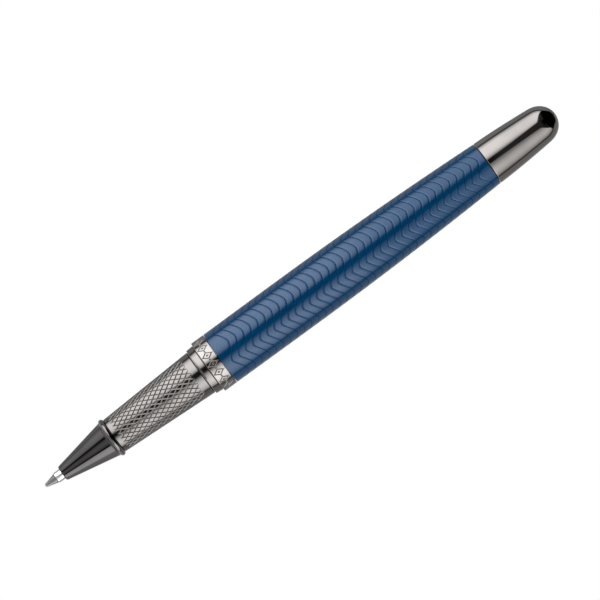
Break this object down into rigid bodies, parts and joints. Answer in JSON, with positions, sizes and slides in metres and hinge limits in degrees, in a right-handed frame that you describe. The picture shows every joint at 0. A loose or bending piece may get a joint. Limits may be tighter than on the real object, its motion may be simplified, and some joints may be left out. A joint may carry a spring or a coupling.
{
  "type": "rollerball pen",
  "caption": "Uncapped rollerball pen with a lattice-cut tapered metal grip, screw-on lacquered barrel, trim band and bullet finial, holding a sprung ink refill.",
  "frame": {"origin": "lowest point of the writing ball, on the pen's axis", "axes": "+Z runs along the pen's axis from the writing point to the finial; the pen is round, so +X and +Y only fix the camera side: the pictured side faces -Y"},
  "size_m": [0.012, 0.012, 0.1297],
  "materials": {
    "gunmetal": "polished gunmetal plating",
    "dark_gunmetal": "polished dark gunmetal plating",
    "bright_steel": "bright",
    "point_metal": "fine turned nickel silver",
    "brass": "machined",
    "blue_lacquer": "translucent blue lacquer over engraved metal, gloss",
    "black_rubber": "matte",
    "black_plastic": "satin",
    "grey_plastic": "satin",
    "fibre": "matte bonded fibre"
  },
  "bodies": {
    "section": {"nose_cone": "dark_gunmetal", "nose_ring": "gunmetal", "grip_sleeve": "gunmetal", "section_connector": "brass", "joint_o_ring": "black_rubber"},
    "refill": {"writing_point": "point_metal", "tip_tube": "bright_steel", "tip_holder": "black_plastic", "ink_wick": "fibre", "ink_reservoir": "grey_plastic", "ink_filler": "fibre", "refill_plug": "black_plastic"},
    "ball": {"ball": "bright_steel"},
    "tail_cushion": {"tail_washer": "bright_steel", "tail_spring": "bright_steel"},
    "barrel": {"collar_ring": "gunmetal", "trim_band": "gunmetal", "barrel_bush": "dark_gunmetal", "barrel_tube": "blue_lacquer", "tail_bush": "black_plastic", "finial": "gunmetal"}
  },
  "joints": [
    {"name": "refill_push", "type": "slide", "parent": "section", "child": "refill", "axis": [0, 0, 1], "range_m": [0, 0.0015], "stiffness_N_per_m": 600, "springref_m": -0.0015, "deforming": ["tail_spring"]},
    {"name": "ball_roll", "type": "hinge", "parent": "refill", "child": "ball", "pos_m": [0, 0, 0.00035], "axis": [1, 0, 0], "continuous": true},
    {"name": "barrel_travel", "type": "slide", "parent": "section", "child": "tail_cushion", "axis": [0, 0, 1], "range_m": [0, 0.004]},
    {"name": "barrel_turn", "type": "hinge", "parent": "tail_cushion", "child": "barrel", "pos_m": [0, 0, 0.045], "axis": [0, 0, 1], "range_deg": [0, 1440]}
  ],
  "couplings": [
    {"joint": "barrel_turn", "follows": "barrel_travel", "rad_per_m": 6283.2}
  ]
}
